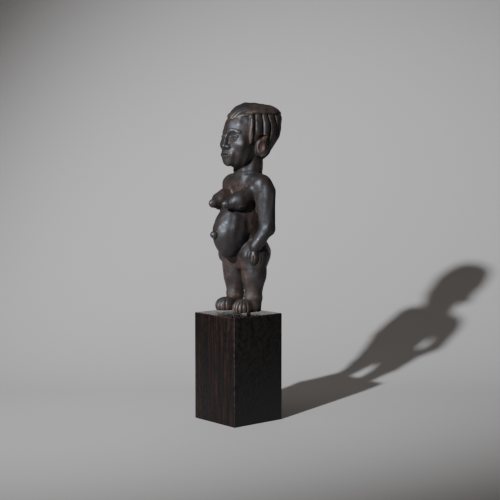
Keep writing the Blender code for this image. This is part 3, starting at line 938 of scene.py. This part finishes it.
DARK_WOOD = (0.0165, 0.0115, 0.0100, 1)
BARE_WOOD = (0.058, 0.041, 0.035, 1)
GRAIN_LINE = (0.010, 0.007, 0.006, 1)
RED_WOOD = (0.105, 0.046, 0.026, 1)
TAN_WOOD = (0.240, 0.155, 0.100, 1)
# The near black of the hollows: dirt, and painted shade.
GRIME_AND_SHADE = (0.0045, 0.003, 0.003, 1)
BLUE_SHEEN = (0.82, 0.90, 1.0, 1)
FIGURE_GRAIN = (900, 0.07)
FIGURE_POLISH = (0.41, 0.62)
HOLLOWS_DULLER = 0.35
HAIR_DULLER = 0.06
PLACES_DULLER = 0.25


def make_hardwood():
    """Oiled and handled wood, near black, brown where it is rubbed and on a painted highlight on the hand.
    The hollows are dull, and darkened by dirt and painted shade.
    """
    material, tree, shader = new_material("dark_hardwood")
    place = add_node(tree, "ShaderNodeTexCoord").outputs["Object"]
    grain = lay_grain(tree, place, *FIGURE_GRAIN)
    rubbed_and_highlit, hollow_dirt_and_shade, reddened = (attribute(tree, name) for name in ("rubbed_and_highlit", "hollow_dirt_and_shade", "reddened"))
    hairy, dull = (attribute(tree, name) for name in ("hairy", "dull"))
    patches = noise(tree, place, 330.0, 5.0, 0.68)
    specks = noise(tree, place, 1500.0, 3.0, 0.6)
    wood = blend(tree, grain.outputs["Cloud"], DARK_WOOD, BARE_WOOD)
    wood = blend(tree, remap(tree, patches, 0.35, 0.65, 0, 0.5), wood, DARK_WOOD)
    wood = blend(tree, remap(tree, grain.outputs["Lines"], 0, 1, 0, 0.45), wood, GRAIN_LINE)
    wood = blend(tree, reckon(tree, "MULTIPLY", hairy, 0.15), wood, GRAIN_LINE)
    red = reckon(tree, "MULTIPLY", reddened, remap(tree, patches, 0.38, 0.60))
    wood = blend(tree, reckon(tree, "MULTIPLY", red, 0.75), wood, RED_WOOD)
    # The hollows turn near black: partly dirt, partly painted shade.
    wood = blend(tree, remap(tree, hollow_dirt_and_shade, 0, 1, 0, 0.9), wood, GRIME_AND_SHADE)
    # The tan of the rubbed places, which on the hand is partly a painted highlight.
    rub_and_highlight = reckon(tree, "MULTIPLY", rubbed_and_highlit, remap(tree, patches, 0.36, 0.58))
    rub_and_highlight = reckon(tree, "MULTIPLY", rub_and_highlight, remap(tree, specks, 0.3, 0.6, 0.35, 1.0))
    wood = blend(tree, rub_and_highlight, wood, TAN_WOOD)
    tree.links.new(wood, shader.inputs["Base Color"])
    polish = remap(tree, patches, 0.36, 0.64, *FIGURE_POLISH)
    polish = reckon(tree, "ADD", polish, reckon(tree, "MULTIPLY", hollow_dirt_and_shade, HOLLOWS_DULLER))
    polish = reckon(tree, "ADD", polish, reckon(tree, "MULTIPLY", hairy, HAIR_DULLER))
    polish = reckon(tree, "ADD", polish, reckon(tree, "MULTIPLY", dull, PLACES_DULLER))
    tree.links.new(polish, shader.inputs["Roughness"])
    shader.inputs["Specular IOR Level"].default_value = 0.75
    shader.inputs["Specular Tint"].default_value = BLUE_SHEEN
    dents = noise(tree, place, 300.0, 3.0, 0.55)
    height = reckon(tree, "MULTIPLY", grain.outputs["Pores"], 0.10)
    height = reckon(tree, "ADD", height, dents)
    height = reckon(tree, "ADD", height, reckon(tree, "MULTIPLY", specks, 0.20))
    bump = add_node(tree, "ShaderNodeBump", {"Height": height, "Strength": 0.36, "Distance": 0.0006})
    tree.links.new(bump.outputs["Normal"], shader.inputs["Normal"])
    return material


BLOCK_BLACK = (0.0028, 0.0020, 0.0019, 1)
BLOCK_RED = (0.040, 0.0125, 0.0080, 1)
BLOCK_EDGE_WEAR = (0.060, 0.030, 0.021, 1)
# The grey of a sheen painted on the block's right face: a painted reflection.
BLOCK_PAINTED_SHEEN = (0.0140, 0.0125, 0.0115, 1)
BLOCK_GRAIN = (1100, 0.025)
BLOCK_POLISH = (0.38, 0.60)
TOP_GLOSSIER = 0.27


def make_block_wood():
    """Straight-grained wood, nearly black with red-brown lines that run upright, polished on top.
    On its right face the grain is faded under a painted grey sheen.
    """
    material, tree, shader = new_material("block_wood")
    place = add_node(tree, "ShaderNodeTexCoord").outputs["Object"]
    grain = lay_grain(tree, place, *BLOCK_GRAIN)
    worn = attribute(tree, "worn")
    face_way = add_node(tree, "ShaderNodeTexCoord").outputs["Normal"]
    facing = add_node(tree, "ShaderNodeSeparateXYZ", {0: face_way})
    end_grain = remap(tree, facing.outputs["Z"], 0.8, 0.98)
    # The face towards +X, on the camera's right, where the grain is faded under a painted grey sheen.
    sheen_face = remap(tree, facing.outputs["X"], 0.5, 0.9)
    lines = remap(tree, grain.outputs["Lines"], 0.42, 0.95)
    lines = reckon(tree, "MULTIPLY", lines, remap(tree, grain.outputs["Cloud"], 0.1, 0.8, 0.35, 1.0))
    # The grain fades on the right face, under the painted sheen.
    lines = reckon(tree, "MULTIPLY", lines, remap(tree, sheen_face, 0, 1, 1.0, 0.15))
    lines = reckon(tree, "MULTIPLY", lines, remap(tree, end_grain, 0, 1, 1.0, 0.25))
    wood = blend(tree, lines, BLOCK_BLACK, BLOCK_RED)
    mottle = noise(tree, place, 240.0, 4.0, 0.65)
    # A mottled grey sheen painted over the right face: a painted reflection.
    painted_sheen = reckon(tree, "MULTIPLY", sheen_face, remap(tree, mottle, 0.38, 0.60, 0.3, 1.0))
    wood = blend(tree, painted_sheen, wood, BLOCK_PAINTED_SHEEN)
    edge = reckon(tree, "MULTIPLY", worn, remap(tree, mottle, 0.42, 0.60, 0.05, 0.9))
    wood = blend(tree, edge, wood, BLOCK_EDGE_WEAR)
    tree.links.new(wood, shader.inputs["Base Color"])
    polish = remap(tree, mottle, 0.35, 0.65, *BLOCK_POLISH)
    polish = reckon(tree, "SUBTRACT", polish, reckon(tree, "MULTIPLY", end_grain, TOP_GLOSSIER))
    tree.links.new(polish, shader.inputs["Roughness"])
    height = reckon(tree, "ADD", grain.outputs["Lines"], mottle)
    bump = add_node(tree, "ShaderNodeBump", {"Height": height, "Strength": 0.35, "Distance": 0.0003})
    tree.links.new(bump.outputs["Normal"], shader.inputs["Normal"])
    shader.inputs["Specular IOR Level"].default_value = 0.31
    return material


def make_steel():
    """Plain turned steel with a little tarnish."""
    material, tree, shader = new_material("pin_steel")
    place = add_node(tree, "ShaderNodeTexCoord").outputs["Object"]
    sockets = {"Vector": place, "Scale": 900.0, "Detail": 4.0}
    tarnish = add_node(tree, "ShaderNodeTexNoise", sockets).outputs["Fac"]
    steel = blend(tree, tarnish, (0.46, 0.45, 0.44, 1), (0.30, 0.28, 0.26, 1))
    tree.links.new(steel, shader.inputs["Base Color"])
    tree.links.new(remap(tree, tarnish, 0.3, 0.7, 0.25, 0.45), shader.inputs["Roughness"])
    shader.inputs["Metallic"].default_value = 1.0
    return material


for piece, material in ((carving, make_hardwood()), (block, make_block_wood()), (pin, make_steel())):
    piece.data.materials.clear()
    piece.data.materials.append(material)
    print(piece.name, "in", material.name, "with", len(material.node_tree.nodes), "nodes")

# %% [markdown]
# ## The studio
#
# A single sheet of pale grey paper makes the floor and sweeps up behind, so there is no line between floor
# and wall. The long shadow fixes the lamp: lines drawn from the corners of the shadow through the corners
# of the block meet well to the left of the camera, about as high as the figure is far from it. A wide soft
# box overhead and a low even light fill the rest. The sheet hides nothing from behind: a face of it seen from
# its back lets the view through, so the piece can be looked at from every side.

# %% Lay the paper
PAPER_WIDTH = 5.0
PAPER_FRONT = 1.5
PAPER_BACK = 0.115
SWEEP_RADIUS = 0.5
PAPER_TOP = 2.0
PAPER_GREY = (0.62, 0.60, 0.585, 1)

paper_mesh = bmesh.new()
corners = [paper_mesh.verts.new((side * PAPER_WIDTH / 2, -PAPER_FRONT, 0)) for side in (-1, 1)]
front_edge = paper_mesh.edges.new(corners)


def of_kind(geometry, kind):
    return [item for item in geometry if isinstance(item, kind)]


floor = bmesh.ops.extrude_edge_only(paper_mesh, edges=[front_edge])["geom"]
floor_back = of_kind(floor, bmesh.types.BMVert)
bmesh.ops.translate(paper_mesh, verts=floor_back, vec=(0, PAPER_FRONT + PAPER_BACK, 0))
floor_edge = [edge for edge in of_kind(floor, bmesh.types.BMEdge) if set(edge.verts) == set(floor_back)]
sweep = bmesh.ops.spin(
    paper_mesh,
    geom=floor_back + floor_edge,
    cent=(0, PAPER_BACK, SWEEP_RADIUS),
    axis=(1, 0, 0),
    angle=math.radians(90),
    steps=32,
)["geom_last"]
wall = bmesh.ops.extrude_edge_only(paper_mesh, edges=of_kind(sweep, bmesh.types.BMEdge))["geom"]
wall_top = of_kind(wall, bmesh.types.BMVert)
bmesh.ops.translate(paper_mesh, verts=wall_top, vec=(0, 0, PAPER_TOP - SWEEP_RADIUS))
bmesh.ops.rotate(paper_mesh, verts=paper_mesh.verts, matrix=Matrix.Rotation(CAMERA_TURN, 3, "Z"))
bmesh.ops.recalc_face_normals(paper_mesh, faces=paper_mesh.faces)
lying_face = max(paper_mesh.faces, key=lambda face: abs(face.normal.z))
if lying_face.normal.z < 0:
    bmesh.ops.reverse_faces(paper_mesh, faces=paper_mesh.faces)
paper = add_piece("paper", paper_mesh)
soften(paper, math.radians(60))
paper_finish, paper_tree, paper_shader = new_material("pale_paper")
paper_shader.inputs["Base Color"].default_value = PAPER_GREY
paper_shader.inputs["Roughness"].default_value = 0.9
paper_shader.inputs["Specular IOR Level"].default_value = 0.2
paper_seen = add_node(
    paper_tree,
    "ShaderNodeMixShader",
    {
        0: add_node(paper_tree, "ShaderNodeNewGeometry").outputs["Backfacing"],
        1: paper_shader.outputs["BSDF"],
        2: add_node(paper_tree, "ShaderNodeBsdfTransparent").outputs["BSDF"],
    },
)
paper_tree.links.new(paper_seen.outputs["Shader"], paper_tree.nodes["Material Output"].inputs["Surface"])
paper.data.materials.append(paper_finish)
print("paper of", len(paper.data.polygons), "faces")

# %% Set the lamps
forward = Vector((math.sin(CAMERA_TURN), -math.cos(CAMERA_TURN), 0))


def lamp(name, kind, right, near, height, power, colour, aim):
    """A lamp placed by how far it is to the right of the figure, nearer the camera, and up."""
    light = bpy.data.objects.new(name, bpy.data.lights.new(name, kind))
    bpy.context.scene.collection.objects.link(light)
    light.data.energy = power
    light.data.color = colour
    light.location = rightward * right + forward * near + Vector((0, 0, height))
    light.rotation_euler = (light.location - Vector(aim)).to_track_quat("Z", "Y").to_euler()
    return light.data


KEY_PLACE = (-0.79, 1.255, 0.80)
KEY_AIM = rightward * -0.115 + Vector((0, 0, 0.25))
KEY_POWER = 172.0
KEY_COLOUR = (0.91, 0.95, 1.0)
KEY_SPREAD = math.radians(35)
KEY_SIZE = 0.03
key = lamp("key lamp", "SPOT", *KEY_PLACE, KEY_POWER, KEY_COLOUR, KEY_AIM)
key.shadow_soft_size = KEY_SIZE
key.spot_size = KEY_SPREAD
key.spot_blend = 1.0

BOX_PLACE = (-0.5, 0.3, 1.1)
BOX_AIM = (0, 0, 0.2)
BOX_POWER = 0.35
BOX_COLOUR = (0.96, 0.96, 1.0)
BOX_SIZE = 0.6
box = lamp("soft box", "AREA", *BOX_PLACE, BOX_POWER, BOX_COLOUR, BOX_AIM)
box.shape = "SQUARE"
box.size = BOX_SIZE

ROOM_COLOUR = (1.0, 0.90, 0.80, 1)
ROOM_STRENGTH = 0.085
world = bpy.data.worlds.new("studio")
world.use_nodes = True
world.node_tree.nodes["Background"].inputs["Color"].default_value = ROOM_COLOUR
world.node_tree.nodes["Background"].inputs["Strength"].default_value = ROOM_STRENGTH
bpy.context.scene.world = world
